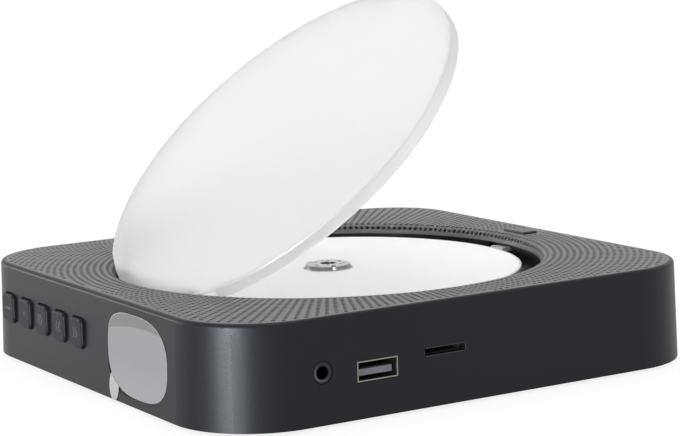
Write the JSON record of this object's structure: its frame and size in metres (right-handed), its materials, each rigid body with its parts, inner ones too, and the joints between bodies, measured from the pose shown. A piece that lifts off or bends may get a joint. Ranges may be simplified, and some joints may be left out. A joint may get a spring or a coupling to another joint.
{
  "type": "wall mounted cd player",
  "caption": "Square wall-mounted disc player with a perforated front, round recessed disc well, hinged frosted lid with push latch, side keys, window and sockets.",
  "frame": {"origin": "spindle axis on the plane of the rubber feet, player lying on its back", "axes": "+Z out of the disc well, -X the face with keys and window, -Y the face with the sockets"},
  "size_m": [0.1688, 0.1676, 0.1109],
  "materials": {
    "casing": "fine matte dark grey moulding",
    "grille": "satin grey paint on perforated sheet",
    "cloth": "black acoustic cloth",
    "cover": "spark-eroded matte plastic",
    "rubber": "soft black rubber",
    "screw_steel": "plated steel",
    "bright_steel": "polished plating",
    "well": "fine matte dark grey moulding",
    "lid": "frosted translucent plastic",
    "disc": "white printed polycarbonate",
    "mechanism": "matte black moulding",
    "gear": "natural acetal",
    "metal_sheet": "bare metal",
    "tongue": "light grey moulding",
    "board": "solder mask over glass laminate",
    "chip": "moulded package",
    "key": "satin dark grey moulding",
    "window": "tinted clear plastic",
    "film": "thin clear peel-off film",
    "paper": "pressed paper cone",
    "ferrite": "sintered ferrite",
    "lens_glass": "coated lens"
  },
  "bodies": {
    "casing": {"top_shell": "casing", "side_walls": "casing", "cover_posts": "cover", "grille": "grille", "acoustic_cloth": "cloth", "rear_cover": "cover", "rubber_feet": "rubber", "case_screws": "screw_steel", "disc_well": "well", "well_screws": "screw_steel", "lid_hinge_pins": "screw_steel", "latch_spring": "screw_steel", "spindle_motor": "metal_sheet", "mech_chassis": "mechanism", "guide_rods": "screw_steel", "chassis_dampers": "rubber", "chassis_screws": "screw_steel", "idler_pin": "screw_steel", "sled_motor": "metal_sheet", "main_board": "board", "board_screws": "screw_steel", "board_chips": "chip", "capacitors": "metal_sheet", "key_board": "board", "tact_switches": "chip", "window_lens": "window", "protective_film": "film", "display_panel": "chip", "light_receiver": "chip", "audio_jack": "chip", "usb_shell": "bright_steel", "usb_tongue": "tongue", "card_socket": "metal_sheet", "dc_inlet": "chip", "power_switch": "metal_sheet", "speaker_gaskets": "rubber", "speaker_frames": "metal_sheet", "speaker_magnets": "ferrite", "speaker_cones": "paper"},
    "lid": {"lid": "lid", "lid_rim": "lid", "lid_arms": "lid"},
    "latch_pad": {"latch_pad": "key"},
    "latch_tongue": {"latch_tongue": "tongue"},
    "spindle": {"compact_disc": "disc", "disc_hub": "bright_steel", "hub_balls": "bright_steel", "turntable": "mechanism", "spindle_shaft": "screw_steel"},
    "sled": {"pickup_sled": "mechanism", "objective_lens": "lens_glass", "sled_rack": "gear"},
    "idler": {"idler_gear": "gear"},
    "pinion": {"motor_pinion": "gear"},
    "power_knob": {"power_knob": "chip"},
    "key_1": {"key_1": "key"},
    "key_2": {"key_2": "key"},
    "key_3": {"key_3": "key"},
    "key_4": {"key_4": "key"},
    "key_5": {"key_5": "key"}
  },
  "joints": [
    {"name": "lid_hinge", "type": "hinge", "parent": "casing", "child": "lid", "pos_m": [-0.059, 0, 0.0272], "axis": [0, -1, 0], "range_deg": [-41.4, 10.6]},
    {"name": "spindle_spin", "type": "hinge", "parent": "casing", "child": "spindle", "pos_m": [0, 0, 0.026], "axis": [0, 0, 1], "continuous": true},
    {"name": "sled_slide", "type": "slide", "parent": "casing", "child": "sled", "axis": [0, 1, 0], "range_m": [0, 0.033]},
    {"name": "idler_spin", "type": "hinge", "parent": "casing", "child": "idler", "pos_m": [0.019, 0.036, 0.019], "axis": [0, 0, 1], "range_deg": [-395, 1]},
    {"name": "pinion_spin", "type": "hinge", "parent": "casing", "child": "pinion", "pos_m": [0.03078, 0.0292, 0.019], "axis": [0, 0, 1], "range_deg": [-1, 947]},
    {"name": "latch_press", "type": "slide", "parent": "casing", "child": "latch_pad", "axis": [0, 0, -1], "range_m": [0, 0.0012], "stiffness_N_per_m": 800},
    {"name": "latch_draw", "type": "slide", "parent": "casing", "child": "latch_tongue", "axis": [1, 0, 0], "range_m": [0, 0.0012], "deforming": ["latch_spring"]},
    {"name": "key_1_press", "type": "slide", "parent": "casing", "child": "key_1", "axis": [1, 0, 0], "range_m": [0, 0.0006], "stiffness_N_per_m": 1500},
    {"name": "key_2_press", "type": "slide", "parent": "casing", "child": "key_2", "axis": [1, 0, 0], "range_m": [0, 0.0006], "stiffness_N_per_m": 1500},
    {"name": "key_3_press", "type": "slide", "parent": "casing", "child": "key_3", "axis": [1, 0, 0], "range_m": [0, 0.0006], "stiffness_N_per_m": 1500},
    {"name": "key_4_press", "type": "slide", "parent": "casing", "child": "key_4", "axis": [1, 0, 0], "range_m": [0, 0.0006], "stiffness_N_per_m": 1500},
    {"name": "key_5_press", "type": "slide", "parent": "casing", "child": "key_5", "axis": [1, 0, 0], "range_m": [0, 0.0006], "stiffness_N_per_m": 1500},
    {"name": "power_slide", "type": "slide", "parent": "casing", "child": "power_knob", "axis": [0, 1, 0], "range_m": [0, 0.003]}
  ],
  "couplings": [
    {"joint": "idler_spin", "follows": "sled_slide", "rad_per_m": -208.33},
    {"joint": "pinion_spin", "follows": "sled_slide", "rad_per_m": 500},
    {"joint": "latch_draw", "follows": "latch_press", "ratio": 1}
  ]
}
